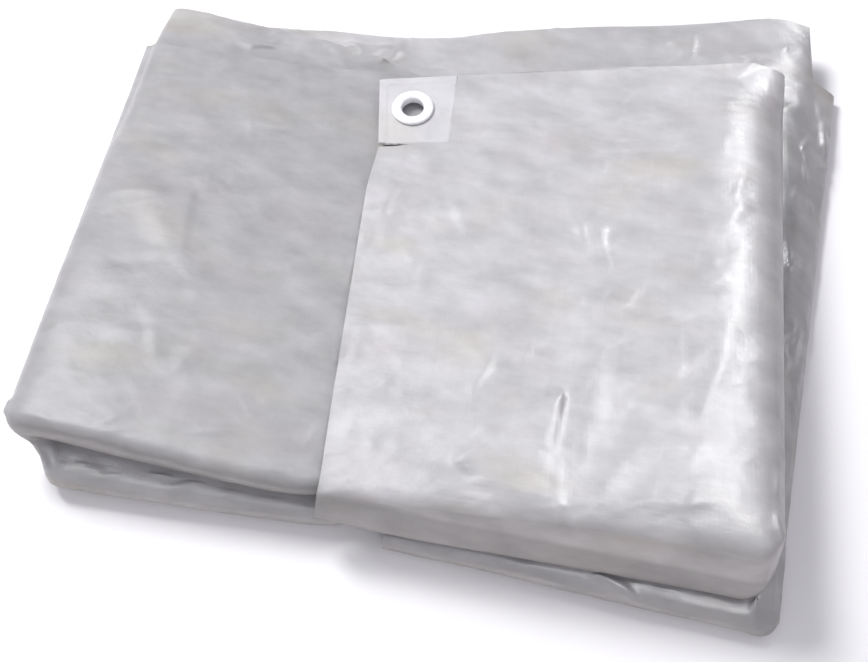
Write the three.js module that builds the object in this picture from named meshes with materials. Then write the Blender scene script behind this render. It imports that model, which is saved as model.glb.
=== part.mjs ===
// Folded sheet of coated woven polyethylene, with one eyelet in its free corner.
// Millimetres. +X runs along the front folds, +Y away from them, +Z up from the surface it lies on.
//
// The sheet is doubled lengthwise into a strip of two plies that are joined along the front.
// That strip lies in four panels, one over the other: base, mid, wide and flap from below.
// It turns back at the right from flap to wide, at the left to mid and at the right to base.

import * as THREE from 'three';
import { mergeVertices } from 'three/addons/utils/BufferGeometryUtils.js';

const clothThick = 1.5;
const floorPly = clothThick / 2;

// The corner strip of doubled cloth fills cells of the grid that the sheet leaves free. Its far
// left, far right, near right and near left corners stand in or out from theirs by these amounts.
const cornerRows = 1;
const cornerColumns = 2;
const stripThick = 2.4;
const stripInset = [[-2.5, 0.8], [-0.6, 0.8], [-0.6, 0.6], [4.2, 0.6]];

// The eyelet: its radii, the thickness of a lip, its rounding, how far its upper lip is crowned and
// its clearance to the strip.
const eyeletPlace = [162.2, 226];
const eyeletOuter = 12.5;
const eyeletHole = 6.5;
const eyeletNeck = 8.2;
const eyeletLip = 1.7;
const eyeletRound = 0.8;
const eyeletCrown = 0.2;
const eyeletFit = 0.35;
const roundSides = 36;
const weldLength = 0.001;

// One row for each place along a panel, in the order in which the strip runs through it.
// x: place along the front and along the far edge. xTwo: the same for ply two, where it differs.
// drawn: how far ply one's far corner is drawn in. nose: how far forward the front fold reaches.
// foot: how low the flap's fold hangs. far: where the two plies end behind. top, low: height of
// the higher and the lower ply at the front fold, a little behind it, and at the far edge.
const panels = {
  flap: [
    { x: [169, 140], nose: -8.5, foot: 19.5, far: [244, 239], top: [35, 37, 36.6], low: [30.4, 32.3, 31.8] },
    { x: [209, 182], nose: -4.4, foot: 15, far: [255, 250], top: [40, 41.6, 38.4], low: [34.8, 36.2, 33.8] },
    { x: [250, 220], nose: -1, foot: 14.6, far: [264, 259], top: [44, 45, 40], low: [38.4, 39.5, 36] },
    { x: [318, 290], nose: 3, foot: 14.6, far: [281, 276], top: [47.5, 47.5, 41.5], low: [41.9, 42, 37.5] },
    { x: [370, 343], nose: 5, foot: 14.8, far: [296, 291], top: [49.2, 48.7, 42.5], low: [43.4, 43, 38.5] },
    { x: [384, 354], nose: 4.8, foot: 15, far: [298, 293], top: [48.8, 48.5, 42.3], low: [43.4, 43, 38.4] },
  ],
  wide: [
    { x: [386, 356], nose: 9, far: [298, 304], top: [37, 36.8, 34.6], low: [31, 30.6, 28.8] },
    { x: [300, 285], nose: -1, far: [283, 292], top: [35, 35.6, 32.5], low: [29.5, 29, 26.5] },
    { x: [222, 212], nose: -1.6, far: [266, 271], top: [31.5, 33, 30], low: [25.5, 26, 23.6] },
    { x: [192, 186], nose: -6.5, far: [259, 264], top: [29, 30, 28.5], low: [20.4, 23, 22.2] },
    { x: [176, 168], nose: -9, far: [262, 261], top: [28, 29, 28], low: [18.4, 21.6, 21.4] },
    { x: [160, 152], nose: -15, far: [266, 258], top: [28.4, 28.8, 27.5], low: [16, 20.4, 21] },
    { x: [100, 94], nose: -16, far: [281, 253], top: [33, 34, 29.5], low: [16.8, 21, 22.5] },
    { x: [54, 36], nose: -15.6, far: [283, 250], top: [37.2, 38, 31], low: [18, 22, 24] },
    {
      x: [21.5, -8], xTwo: [21.5, -5], drawn: 9, nose: -15, far: [284, 249],
      top: [38.3, 38.6, 31.2], low: [20.6, 22.8, 24.4],
    },
  ],
  mid: [
    {
      x: [32, -4], xTwo: [32, 1], drawn: 9, nose: -32.5, far: [284, 249],
      top: [13.6, 15.6, 17.2], low: [0, 0, 0],
    },
    { x: [76, 62], nose: -30.5, far: [289, 252], top: [13, 14.8, 16.4], low: [0, 0, 0] },
    { x: [146, 132], nose: -25, far: [298, 262], top: [11.6, 13.6, 14.8], low: [0, 0, 0] },
    { x: [178, 172], nose: -22.6, far: [306, 268], top: [11.8, 14.4, 15.2], low: [0.2, 1.4, 2] },
    { x: [191, 188], nose: -16, far: [310, 271], top: [14.4, 16.6, 16.4], low: [5.4, 8.2, 8.2] },
    { x: [202, 200], nose: -6, far: [313, 273], top: [18.2, 18.8, 18], low: [12, 12.6, 11.8] },
    { x: [226, 222], nose: -2.4, far: [319, 277], top: [20.4, 20.8, 19], low: [14.6, 14.8, 12.8] },
    { x: [300, 292], nose: -1.8, far: [337, 289], top: [22.4, 22.6, 20.6], low: [16.2, 16.4, 13.8] },
    { x: [376, 366], nose: -1.8, far: [357, 300], top: [24, 24, 22.2], low: [17.4, 17.4, 14.8] },
  ],
  base: [
    { x: [394, 396], xTwo: [386, 388], nose: -29, far: [317, 308], top: [10.4, 9.4, 8.6], low: [0, 0, 0] },
    { x: [330, 326], xTwo: [327, 323], nose: -29.4, far: [306, 298], top: [11.6, 8.4, 7.6], low: [0, 0, 0] },
    { x: [262, 260], xTwo: [261, 259], nose: -28, far: [297, 290], top: [11.2, 8, 7.2], low: [0, 0, 0] },
    { x: [226, 224], xTwo: [226, 224], nose: -27.4, far: [292, 286], top: [10.2, 6.6, 6.2], low: [0, 0, 0] },
    { x: [203, 204], xTwo: [204, 205], nose: -27, far: [290, 284], top: [8.8, 4.8, 5], low: [0, 0, 0] },
  ],
};

// The most between two rows of a panel, along its front.
const rowStep = { flap: 30, wide: 36, mid: 40, base: 40 };

// How a turn bulges past the two panels it joins, at the front and at the far edge. Each pair
// is how far out it reaches and how much of the drop from panel to panel it has gone down.
// farRun: the part of the turn over which the far edges pass from one panel's to the next one's.
// front: how far the front fold has passed over at each row of the turn. hang: how much of it
// hangs down there. pinch: how far its two plies are drawn together there. pressed: how far the
// cloth is pressed thin inside its front fold.
const turns = {
  flapToWide: {
    side: 1,
    finer: true,
    outerPly: 'one',
    farRun: [0, 1],
    front: [0.1, 0.3, 0.55, 0.78, 0.92, 0.98],
    hang: [0.9, 0.7, 0.45, 0.22, 0.08, 0.02],
    pinch: [1, 1, 1, 1, 0.8, 0.4],
    pressed: [0.5, 1, 1, 1, 1, 0.5],
    outer: [
      [[5.9, 0.05], [9.8, 0.16], [11.8, 0.36], [11.4, 0.6], [8.9, 0.82], [4.7, 0.95]],
      [[8, 0.04], [14.6, 0.17], [18.4, 0.36], [19, 0.57], [15.6, 0.78], [8.6, 0.94]],
    ],
    inner: [
      [[3.9, 0.04], [6.1, 0.13], [6.6, 0.33], [5.8, 0.63], [4.1, 0.86], [2.1, 0.97]],
      [[4.4, 0.01], [8, 0.08], [10.2, 0.32], [10.2, 0.68], [8, 0.92], [4.4, 0.99]],
    ],
  },
  wideToMid: {
    side: -1,
    finer: false,
    outerPly: 'two',
    farRun: [0, 1],
    front: [0, 0, 0, 0.13, 0.52, 0.89, 1],
    hang: [0, 0, 0, 0, 0, 0, 0],
    pinch: [0, 0, 0, 0, 0, 0, 0],
    pressed: [0, 0, 0, 0, 0, 0, 0],
    outer: [
      [[16, 0.04], [25.4, 0.17], [26.4, 0.35], [17.6, 0.52], [12, 0.69], [11, 0.86], [8, 0.97]],
      [[5.4, 0.05], [10.6, 0.19], [13.2, 0.37], [14, 0.53], [12.6, 0.7], [9, 0.87], [4.6, 0.97]],
    ],
    inner: [
      [[2.2, 0.06], [3.9, 0.2], [5, 0.38], [5.3, 0.55], [4.8, 0.72], [3.6, 0.87], [1.8, 0.97]],
      [[4.2, 0.06], [8.4, 0.2], [11.4, 0.38], [12.4, 0.55], [11.8, 0.72], [9.2, 0.87], [5, 0.97]],
    ],
  },
  midToBase: {
    side: 1,
    finer: false,
    outerPly: 'one',
    farRun: [0.24, 0.36],
    front: [0, 0.01, 0.08, 0.3, 0.62, 0.9, 1],
    hang: [0, 0, 0, 0, 0, 0, 0],
    pinch: [0, 0, 0, 0, 0, 0, 0],
    pressed: [0, 0, 0, 0.6, 1, 1, 1],
    outer: [
      [[6.5, 0.03], [10.5, 0.14], [11.9, 0.31], [12, 0.5], [14.6, 0.72], [13.4, 0.9], [8.7, 0.985]],
      [[12.1, 0.03], [19.2, 0.14], [20, 0.31], [20, 0.5], [22.6, 0.72], [20.2, 0.9], [12.8, 0.985]],
    ],
    inner: [
      [[4.4, 0.06], [8, 0.2], [9.6, 0.4], [9.2, 0.66], [7.4, 0.86], [4.2, 0.96], [1.8, 1]],
      [[6.2, 0.06], [11.1, 0.2], [13.6, 0.38], [12.7, 0.56], [9.5, 0.74], [5, 0.9], [2, 0.98]],
    ],
  },
};

// Ways along a ply from the far edge to the front fold, as shares of its depth.
const depthShares = [1, 0.9, 0.815, 0.7, 0.57, 0.44, 0.31, 0.19, 0.1, 0.04, 0];
const softDepth = 0.16;
const drawnFrom = 0.86;

// The flap's front fold hangs over the fronts of the panels below it.
const hangAngle = THREE.MathUtils.degToRad(68);
const hangRadius = 12;
const hangPly = 1.75;
const hangDelay = 1.5;
const noseRun = 8;
const runShares = [0.13, 0.27, 0.42, 0.7, 1];
const capSteps = 3;
const capMost = 7;

// Broad soft swells of the upper panels: middle, half widths along and across, turn and height.
const swells = [
  { x: 55, y: 150, long: 60, wide: 22, turn: 0.25, high: 1.5 },
  { x: 110, y: 60, long: 70, wide: 26, turn: -0.35, high: 1.1 },
  { x: 255, y: 210, long: 46, wide: 20, turn: 0.5, high: 1.5 },
  { x: 262, y: 55, long: 24, wide: 60, turn: 0.1, high: 1.8 },
  { x: 330, y: 80, long: 46, wide: 60, turn: 0.3, high: 1.4 },
  { x: 205, y: 130, long: 26, wide: 70, turn: -0.1, high: -1.1 },
  { x: 300, y: 160, long: 50, wide: 24, turn: -0.3, high: -1.2 },
];
const swellFull = 46;

// Where a front fold is pressed together its inner face gives way by this much, up to this share
// of the fold from its two ends.
const pressedMost = 0.5;
const pressedEdge = 0.25;

const alongFront = new THREE.Vector3(1, 0, 0);
const lerp = THREE.MathUtils.lerp;
const smooth = (t) => THREE.MathUtils.smoothstep(t, 0, 1);
const halfWay = 0.5;

// A cubic through four neighbouring rows, number by number, at t between the middle two.
function blend(a, b, c, d, t) {
  if (Array.isArray(b)) return b.map((_, i) => blend(a[i], b[i], c[i], d[i], t));
  if (typeof b === 'object') {
    return Object.fromEntries(Object.keys(b).map((key) => [key, blend(a[key], b[key], c[key], d[key], t)]));
  }
  const m1 = (c - a) / 2;
  const m2 = (d - b) / 2;
  const t2 = t * t;
  const t3 = t2 * t;
  return b * (2 * t3 - 3 * t2 + 1) + m1 * (t3 - 2 * t2 + t) + c * (3 * t2 - 2 * t3) + m2 * (t3 - t2);
}

function between(rows, k, t) {
  const pick = (i) => rows[THREE.MathUtils.clamp(i, 0, rows.length - 1)];
  return blend(pick(k - 1), pick(k), pick(k + 1), pick(k + 2), t);
}

// Height of a ply at a share v of its depth, from its three heights.
function plyHeight(three, v) {
  const near = (1 - Math.min(v / softDepth, 1)) ** 2;
  return floorPly + three[1] + (three[0] - three[1]) * near + (three[2] - three[1]) * smooth(v);
}

// A panel's own rows and the ones between them. Ply one lies above in the flap and mid panels.
function panelRows(name, oneIsUpper, stepLength) {
  const table = panels[name].map((row) => ({ xTwo: row.x, drawn: 0, ...row }));
  const rows = [];
  table.forEach((row, k) => {
    const next = table[k + 1];
    const reach = next ? Math.abs(next.x[0] - row.x[0]) : 0;
    const steps = Math.max(1, Math.round(reach / stepLength));
    for (let i = 0; i < steps; i += 1) {
      const r = next ? between(table, k, i / steps) : row;
      const hangs = name === 'flap';
      rows.push({
        one: { x: r.x, z: oneIsUpper ? r.top : r.low, far: r.far[0], drawn: r.drawn },
        two: { x: r.xTwo, z: oneIsUpper ? r.low : r.top, far: r.far[1], drawn: 0 },
        front: hangs ? r.nose : r.nose + noseRun + Math.min(capMost, (r.top[0] - r.low[0]) / 2),
        hang: hangs ? 1 : 0,
        foot: hangs ? r.foot : 0,
        pinch: hangs ? 1 : 0,
        pressed: 0,
      });
    }
  });
  return rows;
}

// The rows of a turn between the last row of one panel and the first row of the next, with
// further ones half way between them.
function turnRows(turn, from, to) {
  const count = turn.outer[0].length;
  const rows = [];
  for (let i = 0; i < count; i += 1) {
    const share = (i + 1) / (count + 1);
    const farShare = THREE.MathUtils.smoothstep(share, ...turn.farRun);
    const ply = (key) => {
      const profile = turn.outerPly === key ? turn.outer : turn.inner;
      const [near, far] = [profile[0][i], profile[1][i]];
      const [a, b] = [from[key], to[key]];
      return {
        x: [
          lerp(a.x[0], b.x[0], near[1]) + turn.side * near[0],
          lerp(a.x[1], b.x[1], far[1]) + turn.side * far[0],
        ],
        z: [lerp(a.z[0], b.z[0], near[1]), lerp(a.z[1], b.z[1], near[1]), lerp(a.z[2], b.z[2], far[1])],
        far: lerp(a.far, b.far, farShare),
        drawn: lerp(a.drawn, b.drawn, share),
      };
    };
    rows.push({
      one: ply('one'),
      two: ply('two'),
      front: lerp(from.front, to.front, turn.front[i]),
      hang: turn.hang[i],
      foot: from.foot,
      pinch: turn.pinch[i],
      pressed: turn.pressed[i],
    });
  }
  const all = [from, ...rows, to];
  const finer = all.slice(0, -1).flatMap((row, k) => [row, between(all, k, halfWay)]);
  return turn.finer ? finer.slice(1) : rows;
}

function swellAt(x, y) {
  let high = 0;
  for (const s of swells) {
    const dx = x - s.x;
    const dy = y - s.y;
    const along = (dx * Math.cos(s.turn) + dy * Math.sin(s.turn)) / s.long;
    const across = (dy * Math.cos(s.turn) - dx * Math.sin(s.turn)) / s.wide;
    high += s.high * Math.exp(-(along ** 2) - across ** 2);
  }
  return high;
}

// A point of a ply, at a share v of the way back from the front fold.
function plyPoint(ply, front, v) {
  const x = lerp(ply.x[0], ply.x[1], v) + ply.drawn * THREE.MathUtils.smoothstep(v, drawnFrom, 1);
  const y = lerp(front, ply.far, v);
  const z = plyHeight(ply.z, v);
  const share = THREE.MathUtils.clamp((z - floorPly) / swellFull, 0, 1);
  return new THREE.Vector3(x, y, z + swellAt(x, y) * share ** 2);
}

// The front fold of a row, from its outer ply round to its inner ply. It runs forward and, where
// it hangs, turns down and goes on to the foot of the hang before it closes on itself.
function frontLoop(row) {
  const outer = plyPoint(row.one, row.front, 0);
  const inner = plyPoint(row.two, row.front, 0);
  const up = outer.clone().sub(inner);
  const gap = up.length() / 2;
  up.normalize();
  const start = outer.clone().add(inner).multiplyScalar(0.5);
  const hang = THREE.MathUtils.clamp(row.hang, 0, 1);
  const bend = hangAngle * Math.sqrt(hang);
  const fall = start.z - hangRadius * (1 - Math.cos(hangAngle)) - row.foot - hangPly;
  const tail = lerp(noseRun, fall / Math.sin(hangAngle), hang ** hangDelay);
  const arc = hangRadius * bend;
  const outerSide = [];
  const innerSide = [];
  let end = null;
  for (const share of runShares) {
    const run = share * (arc + tail);
    const angle = arc > 0 ? Math.min(bend, run / hangRadius) : 0;
    const beyond = Math.max(0, run - arc);
    const centre = start.clone();
    centre.y -= hangRadius * Math.sin(angle) + beyond * Math.cos(bend);
    centre.z -= hangRadius * (1 - Math.cos(angle)) + beyond * Math.sin(bend);
    const half = lerp(gap, lerp(gap, hangPly, row.pinch), share);
    const across = up.clone().applyAxisAngle(alongFront, angle);
    outerSide.push(centre.clone().addScaledVector(across, half));
    innerSide.unshift(centre.clone().addScaledVector(across, -half));
    end = { centre, across, half, angle: bend };
  }
  const ahead = new THREE.Vector3(0, -Math.cos(end.angle), -Math.sin(end.angle));
  const cap = [];
  for (let k = 1; k <= capSteps; k += 1) {
    const turn = (k / (capSteps + 1)) * Math.PI;
    cap.push(end.centre.clone()
      .addScaledVector(end.across, end.half * Math.cos(turn))
      .addScaledVector(ahead, Math.min(capMost, end.half) * Math.sin(turn)));
  }
  return [...outerSide, ...cap, ...innerSide];
}

// All rows of the strip, from the flap's free left end to the base's.
const flapRows = panelRows('flap', true, rowStep.flap);
const wideRows = panelRows('wide', false, rowStep.wide);
const midRows = panelRows('mid', true, rowStep.mid);
const baseRows = panelRows('base', false, rowStep.base);
const last = (rows) => rows[rows.length - 1];
const stripRows = [
  ...flapRows,
  ...turnRows(turns.flapToWide, last(flapRows), wideRows[0]),
  ...wideRows,
  ...turnRows(turns.wideToMid, last(wideRows), midRows[0]),
  ...midRows,
  ...turnRows(turns.midToBase, last(midRows), baseRows[0]),
  ...baseRows,
];
const grid = stripRows.map((row) => [
  ...depthShares.map((v) => plyPoint(row.one, row.front, v)),
  ...frontLoop(row),
  ...depthShares.slice().reverse().map((v) => plyPoint(row.two, row.front, v)),
]);

// The corner that the eyelet strip fills is left out of the sheet.
const isCorner = (i, j) => i < cornerRows && j < cornerColumns;

// How much the inner face gives way where the cloth is pressed together inside a front fold.
const loopStart = depthShares.length;
const loopEnd = grid[0].length - depthShares.length;
function thinned(i, j) {
  const share = (j - loopStart) / (loopEnd - 1 - loopStart);
  const along = smooth(Math.min(share, 1 - share) / pressedEdge);
  return pressedMost * THREE.MathUtils.clamp(stripRows[i].pressed, 0, 1) * along;
}

// A closed sheet of even thickness on the grid, without the cells that skip names.
function sheetGeometry(points, thick, skip) {
  const rows = points.length;
  const columns = points[0].length;
  const inside = (k, count) => THREE.MathUtils.clamp(k, 0, count - 1);
  const at = (i, j) => points[inside(i, rows)][inside(j, columns)];
  const position = [];
  for (const side of [1, -1]) {
    for (let i = 0; i < rows; i += 1) {
      for (let j = 0; j < columns; j += 1) {
        const half = side > 0 ? thick / 2 : thick / 2 - thinned(i, j);
        const along = at(i + 1, j).clone().sub(at(i - 1, j));
        const across = at(i, j - 1).clone().sub(at(i, j + 1));
        const normal = along.cross(across).normalize();
        position.push(...at(i, j).clone().addScaledVector(normal, side * half).toArray());
      }
    }
  }
  const index = [];
  const filled = (i, j) => i >= 0 && j >= 0 && i < rows - 1 && j < columns - 1 && !skip(i, j);
  const id = (i, j, side) => (side > 0 ? 0 : rows * columns) + i * columns + j;
  const quad = (a, b, c, d) => index.push(a, b, c, a, c, d);
  for (let i = 0; i < rows - 1; i += 1) {
    for (let j = 0; j < columns - 1; j += 1) {
      if (!filled(i, j)) continue;
      const corners = [[i, j + 1], [i + 1, j + 1], [i + 1, j], [i, j]];
      const beyond = [[i, j + 1], [i + 1, j], [i, j - 1], [i - 1, j]];
      const top = corners.map(([r, c]) => id(r, c, 1));
      const under = corners.map(([r, c]) => id(r, c, -1));
      quad(...top);
      quad(...under.slice().reverse());
      beyond.forEach(([r, c], k) => {
        if (filled(r, c)) return;
        const n = (k + 1) % corners.length;
        quad(top[k], under[k], under[n], top[n]);
      });
    }
  }
  const geometry = new THREE.BufferGeometry();
  geometry.setAttribute('position', new THREE.Float32BufferAttribute(position, 3));
  geometry.setIndex(index);
  const merged = mergeVertices(geometry, weldLength);
  merged.computeVertexNormals();
  return merged;
}

// The eyelet strip's own frame: its middle, and the plane of the corner that it fills.
const cornerPoints = [[0, 0], [cornerRows, 0], [cornerRows, cornerColumns], [0, cornerColumns]]
  .map(([i, j]) => grid[i][j]);
const [farLeft, farRight, nearRight, nearLeft] = cornerPoints;
const cornerUp = nearRight.clone().sub(farLeft).cross(farRight.clone().sub(nearLeft)).normalize();
const cornerAlong = farRight.clone().sub(farLeft).normalize();
const cornerBack = cornerUp.clone().cross(cornerAlong).normalize();
const cornerMiddle = cornerPoints.reduce((sum, p) => sum.add(p), new THREE.Vector3()).divideScalar(4);
const cornerFrame = new THREE.Matrix4().makeBasis(cornerAlong, cornerBack, cornerUp);
cornerFrame.setPosition(cornerMiddle);
const inCorner = (point) => point.clone().applyMatrix4(cornerFrame.clone().invert());

function stripGeometry(eyeletAt) {
  const moved = cornerPoints.map((p, k) => inCorner(p).add(new THREE.Vector3(...stripInset[k], 0)));
  const outline = new THREE.Shape(moved.map((p) => new THREE.Vector2(p.x, p.y)).reverse());
  const hole = new THREE.Path();
  hole.absarc(eyeletAt.x, eyeletAt.y, eyeletNeck + eyeletFit, 0, Math.PI * 2, true);
  outline.holes.push(hole);
  const geometry = new THREE.ExtrudeGeometry(outline, {
    depth: stripThick,
    bevelEnabled: false,
    curveSegments: roundSides,
  });
  geometry.translate(0, 0, -stripThick / 2);
  return geometry;
}

// A rolled ring with a lip on either face of the strip, turned about the eyelet's own axis.
function eyeletGeometry() {
  const face = stripThick / 2 + eyeletFit;
  const top = face + eyeletLip;
  const profile = [
    [eyeletHole, -top + eyeletRound],
    [eyeletHole + eyeletRound, -top],
    [eyeletOuter - eyeletRound, -top],
    [eyeletOuter, -top + eyeletRound],
    [eyeletOuter, -face],
    [eyeletNeck, -face],
    [eyeletNeck, face],
    [eyeletOuter, face],
    [eyeletOuter, top - eyeletRound],
    [eyeletOuter - eyeletRound, top - eyeletCrown],
    [(eyeletOuter + eyeletHole) / 2, top],
    [eyeletHole + eyeletRound, top - eyeletCrown],
    [eyeletHole, top - eyeletRound],
    [eyeletHole, -top + eyeletRound],
  ].map(([r, z]) => new THREE.Vector2(r, z));
  const geometry = new THREE.LatheGeometry(profile, roundSides);
  geometry.rotateX(Math.PI / 2);
  return geometry;
}

const eyeletAt = inCorner(new THREE.Vector3(eyeletPlace[0], eyeletPlace[1], cornerMiddle.z)).setZ(0);

const film = new THREE.MeshStandardMaterial({ color: 0xcfced0, roughness: 0.42, metalness: 0 });
const doubled = new THREE.MeshStandardMaterial({ color: 0xdddce0, roughness: 0.4, metalness: 0 });
const moulded = new THREE.MeshStandardMaterial({ color: 0xf2f1f4, roughness: 0.3, metalness: 0 });

const sheet = new THREE.Mesh(sheetGeometry(grid, clothThick, isCorner), film);
sheet.name = 'sheet';

const strip = new THREE.Mesh(stripGeometry(eyeletAt), doubled);
strip.name = 'corner_strip';
strip.applyMatrix4(cornerFrame);

const eyelet = new THREE.Mesh(eyeletGeometry(), moulded);
eyelet.name = 'eyelet';
eyelet.position.copy(eyeletAt);
const corner = new THREE.Group();
corner.applyMatrix4(cornerFrame);
corner.add(eyelet);

// The packet stands with its middle over the origin and its lowest face on the ground.
const packet = new THREE.Group();
packet.add(sheet, strip, corner);
const box = new THREE.Box3().setFromObject(packet, true);
const middle = box.getCenter(new THREE.Vector3());
packet.position.set(-middle.x, -middle.y, -box.min.z);

const group = new THREE.Group();
group.add(packet);
group.updateMatrixWorld(true);

export default group;
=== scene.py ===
# A woven film sheet folded to a flat packet, with its corner strip and its eyelet.
# Metres in Blender, millimetres in the tables. +X runs along the front folds, +Y away from them, +Z up.
import math

import bmesh
import bpy
import numpy as np
from mathutils import Matrix, Vector, noise
from mathutils.bvhtree import BVHTree


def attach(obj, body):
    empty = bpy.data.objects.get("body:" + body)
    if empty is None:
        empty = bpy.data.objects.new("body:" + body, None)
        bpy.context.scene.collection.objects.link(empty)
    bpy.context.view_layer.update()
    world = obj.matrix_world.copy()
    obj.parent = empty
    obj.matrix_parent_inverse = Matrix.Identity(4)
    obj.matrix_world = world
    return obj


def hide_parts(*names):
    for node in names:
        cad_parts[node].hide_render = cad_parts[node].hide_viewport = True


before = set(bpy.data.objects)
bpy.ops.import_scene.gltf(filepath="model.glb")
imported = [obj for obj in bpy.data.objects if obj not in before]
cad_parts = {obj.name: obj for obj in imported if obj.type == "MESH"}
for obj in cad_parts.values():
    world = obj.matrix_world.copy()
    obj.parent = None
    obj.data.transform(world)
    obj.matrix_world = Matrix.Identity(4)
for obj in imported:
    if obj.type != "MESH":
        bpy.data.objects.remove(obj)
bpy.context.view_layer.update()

mm = 0.001
print("frame loaded:", sorted(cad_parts))


# Small helpers.

def linearColour(hexText):
    parts = [int(hexText[i:i + 2], 16) / 255 for i in (1, 3, 5)]
    return (*[c / 12.92 if c <= 0.04045 else ((c + 0.055) / 1.055) ** 2.4 for c in parts], 1.0)


def addNode(tree, kind, settings=None, links=None):  # one node, with its settings and what feeds it
    node = tree.nodes.new(kind)
    for key, value in (settings or {}).items():
        if isinstance(key, str) and hasattr(node, key):
            setattr(node, key, value)
        else:
            node.inputs[key].default_value = value
    for key, source in (links or {}).items():
        tree.links.new(source, node.inputs[key])
    return node


def newMaterial(name):
    material = bpy.data.materials.new(name)
    material.use_nodes = True
    tree = material.node_tree
    surface = next(n for n in tree.nodes if n.type == "BSDF_PRINCIPLED")
    return material, tree, surface


def newPiece(name, verts, faces, material):
    mesh = bpy.data.meshes.new(name)
    mesh.from_pydata(verts, [], faces)
    mesh.validate()
    piece = bpy.data.objects.new(name, mesh)
    bpy.context.scene.collection.objects.link(piece)
    mesh.materials.append(material)
    return piece


def settle(piece):  # leaves the piece as its modifiers make it
    graph = bpy.context.evaluated_depsgraph_get()
    mesh = bpy.data.meshes.new_from_object(piece.evaluated_get(graph))
    old = piece.data
    piece.modifiers.clear()
    piece.data = mesh
    bpy.data.meshes.remove(old)


def smoothShade(piece, sharpFrom):
    mesh = piece.data
    mesh.polygons.foreach_set("use_smooth", [True] * len(mesh.polygons))
    mesh.set_sharp_from_angle(angle=math.radians(sharpFrom))


def places(mesh):
    flat = np.empty(len(mesh.vertices) * 3)
    mesh.vertices.foreach_get("co", flat)
    return flat.reshape(-1, 3)


def movePlaces(mesh, points):
    mesh.vertices.foreach_set("co", points.astype(float).ravel())
    mesh.update()


def facing(mesh):
    flat = np.empty(len(mesh.vertices) * 3)
    mesh.vertex_normals.foreach_get("vector", flat)
    return flat.reshape(-1, 3)


def easing(t):
    t = np.clip(t, 0, 1)
    return t * t * (3 - 2 * t)


# Materials.

# Where a point lies in the cloth, in metres along its two tape directions. The tapes follow the
# packet's own slant on the level faces and turn down with the folds on the upright ones.
uprightFrom = 0.72                 # a face whose normal leans over this far counts as upright


def clothPlace(tree, slant):
    place = addNode(tree, "ShaderNodeTexCoord").outputs["Object"]
    at = addNode(tree, "ShaderNodeSeparateXYZ", links={0: place}).outputs
    normal = addNode(tree, "ShaderNodeNewGeometry").outputs["Normal"]
    turned = addNode(tree, "ShaderNodeSeparateXYZ", links={0: normal}).outputs

    def steep(axis):
        size = addNode(tree, "ShaderNodeMath", {"operation": "ABSOLUTE"}, {0: turned[axis]})
        return addNode(tree, "ShaderNodeMath", {"operation": "GREATER_THAN", 1: uprightFrom},
                       {0: size.outputs[0]}).outputs[0]

    sheared = addNode(tree, "ShaderNodeMath", {"operation": "MULTIPLY_ADD", 1: slant}, {0: at["Y"], 2: at["X"]})
    across = addNode(tree, "ShaderNodeMix", links={0: steep("X"), 2: sheared.outputs[0], 3: at["Z"]})
    along = addNode(tree, "ShaderNodeMix", links={0: steep("Y"), 2: at["Y"], 3: at["Z"]})
    return across.outputs[0], along.outputs[0], at, turned


# The same place counted in steps of the two lengths, in mm; the shift sets one pattern apart from another.
def scaledPair(tree, across, along, acrossLength, alongLength, shift=0.0):
    u = addNode(tree, "ShaderNodeMath", {"operation": "MULTIPLY_ADD", 1: 1 / (acrossLength * mm), 2: shift},
                {0: across})
    v = addNode(tree, "ShaderNodeMath", {"operation": "MULTIPLY", 1: 1 / (alongLength * mm)}, {0: along})
    return addNode(tree, "ShaderNodeCombineXYZ", links={0: u.outputs[0], 1: v.outputs[0]}).outputs[0]


# Coated woven polyethylene: flat clear-white tapes woven and coated with film on both faces. It
# looks milky grey, with a soft broken gloss, faint streaks along both tape ways and small crinkles.
filmLook = {
    "slant": 0.115,          # the cross tapes lean by this much
    "tape": 2.4,             # mm from tape to tape
    "tapeDepth": 0.018,      # mm
    "streak": (42, 1.9),     # mm, length and width of a streak
    "streakDepth": 0.015,
    "streakShare": 0.09,     # how far the streaks show in the colour
    "weaveSwap": (38, 30),   # mm, size of the places where the one or the other tape way shows more
    "crinkle": 9.0,          # mm from crinkle to crinkle
    "crinkleDepth": 0.22,
    "swell": 27.0,           # mm from one soft swell to the next
    "swellDepth": 1.3,
    "light": "#abaaad",
    "shade": "#939294",
    "warm": "#a49d8b",
    "rose": "#a3969c",
    "blotch": (30, 16),      # mm, size of the paler and greyer places
    "tintSize": (70, 34),    # mm, size of the warm and the rosy ones
    "tintShare": (0.26, 0.18),      # and how far these two go
    "roughness": (0.31, 0.43),
    # Painted light: the flap, with all plies under it, lies beyond this x and above this height at "slopeFrom", and
    # is painted whiter there, standing in for the light that comes up through the plies; both in mm. The last number
    # is the slope of that height along x.
    "flapFrom": (-72, 35, -0.03),
    "slopeFrom": -45,
    "flapPaintedLight": 0.37,        # share by which it looks whiter
    # painted light also lifts the low plies out of their shade and whitens the far band
    "lowUpTo": (24, 15),     # mm, the plies that lie low look whiter too, but not at the right
    "lowRight": (63, 173),   # mm
    "lowPaintedLight": 0.24,
    "lowRightPaintedLight": 0.17,    # there they look only this much whiter
    "farBand": (102, 122),   # mm, and so does the band along the far edge
    "farPaintedLight": 0.16,
    "frontPaintedShade": "#e8e3df",  # painted shade: multiplies the colour of the fronts of the folds, a little darker and warmer
    "sidePaintedShade": "#efecec",   # and that of the right sides, painted shade where they turn down
}


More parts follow.
